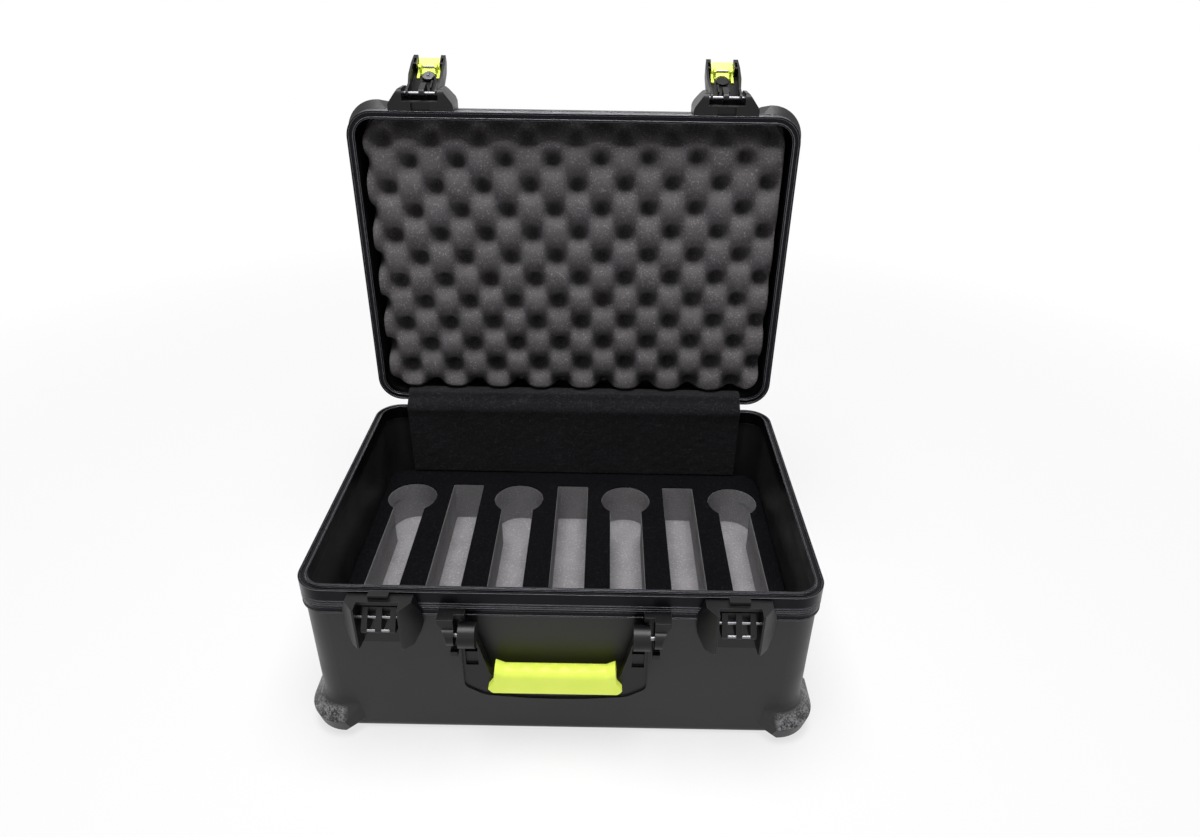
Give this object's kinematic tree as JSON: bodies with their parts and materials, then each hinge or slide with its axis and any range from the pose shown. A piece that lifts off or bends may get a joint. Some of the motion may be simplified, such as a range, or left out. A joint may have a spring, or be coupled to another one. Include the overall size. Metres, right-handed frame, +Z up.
{
  "type": "microphone case",
  "caption": "Hard case with a hinged lid, two draw latches with release triggers, a drop handle, a pocketed foam insert and egg-crate foam in the lid.",
  "frame": {"origin": "middle of the underside of the base", "axes": "+X to the case's right seen from the front, +Y to the back, +Z up; the lid stands open at rest"},
  "size_m": [0.5426, 0.4868, 0.6218],
  "materials": {
    "shell_plastic": "satin black moulded plastic, fine grain",
    "rim_metal": "black anodised extrusion, satin",
    "black_fitting": "satin black cast fitting",
    "steel": "bright plated steel",
    "dark_steel": "black plated steel",
    "neon_plastic": "neon yellow-green, soft gloss",
    "grip_rubber": "neon yellow-green soft grip, matt",
    "foam_black": "black foam skin",
    "foam_grey": "dark grey open-cell foam",
    "fleece": "coarse black fleece"
  },
  "bodies": {
    "base": {"base_shell": "shell_plastic", "base_rim": "rim_metal", "hinge_base_leaves": "dark_steel", "hinge_pins": "steel", "hinge_base_rivets": "steel", "strike_screws": "steel", "handle_screws": "steel", "strike_left": "black_fitting", "strike_right": "black_fitting", "strike_keeper_left": "black_fitting", "strike_keeper_right": "black_fitting", "strike_bars": "steel", "strike_pins": "steel", "handle_bracket_left": "black_fitting", "handle_bracket_right": "black_fitting", "handle_pins": "steel", "foam_top_skin": "foam_black", "foam_upper_layer": "foam_grey", "foam_lower_layer": "foam_grey", "foam_base_pad": "foam_grey", "hinge_fabric": "fleece"},
    "lid": {"lid_shell": "shell_plastic", "lid_rim": "rim_metal", "hinge_lid_leaves": "dark_steel", "hinge_lid_rivets": "steel", "bracket_screws": "steel", "lid_foam": "foam_grey", "latch_bracket_left": "black_fitting", "latch_bracket_right": "black_fitting", "latch_pins": "steel"},
    "latch_left": {"latch_lever_left": "black_fitting", "trigger_pin_left": "steel"},
    "latch_right": {"latch_lever_right": "black_fitting", "trigger_pin_right": "steel"},
    "trigger_left": {"release_trigger_left": "neon_plastic"},
    "trigger_right": {"release_trigger_right": "neon_plastic"},
    "key_lock": {"lock_plug": "steel"},
    "handle": {"handle_bail": "black_fitting", "handle_grip": "grip_rubber"}
  },
  "joints": [
    {"name": "lid_hinge", "type": "hinge", "parent": "base", "child": "lid", "pos_m": [0, 0.1884, 0.1993], "axis": [1, 0, 0], "range_deg": [0, 90.8], "deforming": ["hinge_fabric"]},
    {"name": "latch_left_hinge", "type": "hinge", "parent": "lid", "child": "latch_left", "pos_m": [-0.1725, 0.20854, 0.58846], "axis": [1, 0, 0], "range_deg": [0, 153]},
    {"name": "latch_right_hinge", "type": "hinge", "parent": "lid", "child": "latch_right", "pos_m": [0.1725, 0.20854, 0.58846], "axis": [1, 0, 0], "range_deg": [0, 153]},
    {"name": "trigger_left_press", "type": "hinge", "parent": "latch_left", "child": "trigger_left", "pos_m": [-0.1725, 0.26323, 0.6098], "axis": [-1, 0, 0], "range_deg": [0, 13], "stiffness_Nm_per_rad": 0.04, "springref_deg": -20.05},
    {"name": "trigger_right_press", "type": "hinge", "parent": "latch_right", "child": "trigger_right", "pos_m": [0.1725, 0.26323, 0.6098], "axis": [-1, 0, 0], "range_deg": [0, 13], "stiffness_Nm_per_rad": 0.04, "springref_deg": -20.05},
    {"name": "key_turn", "type": "hinge", "parent": "latch_left", "child": "key_lock", "pos_m": [-0.1725, 0.25097, 0.60098], "axis": [0, 0.4415, -0.8973], "range_deg": [0, 90]},
    {"name": "handle_lift", "type": "hinge", "parent": "base", "child": "handle", "pos_m": [-0.0045, -0.1975, 0.1555], "axis": [-1, 0, 0], "range_deg": [0, 95]}
  ]
}
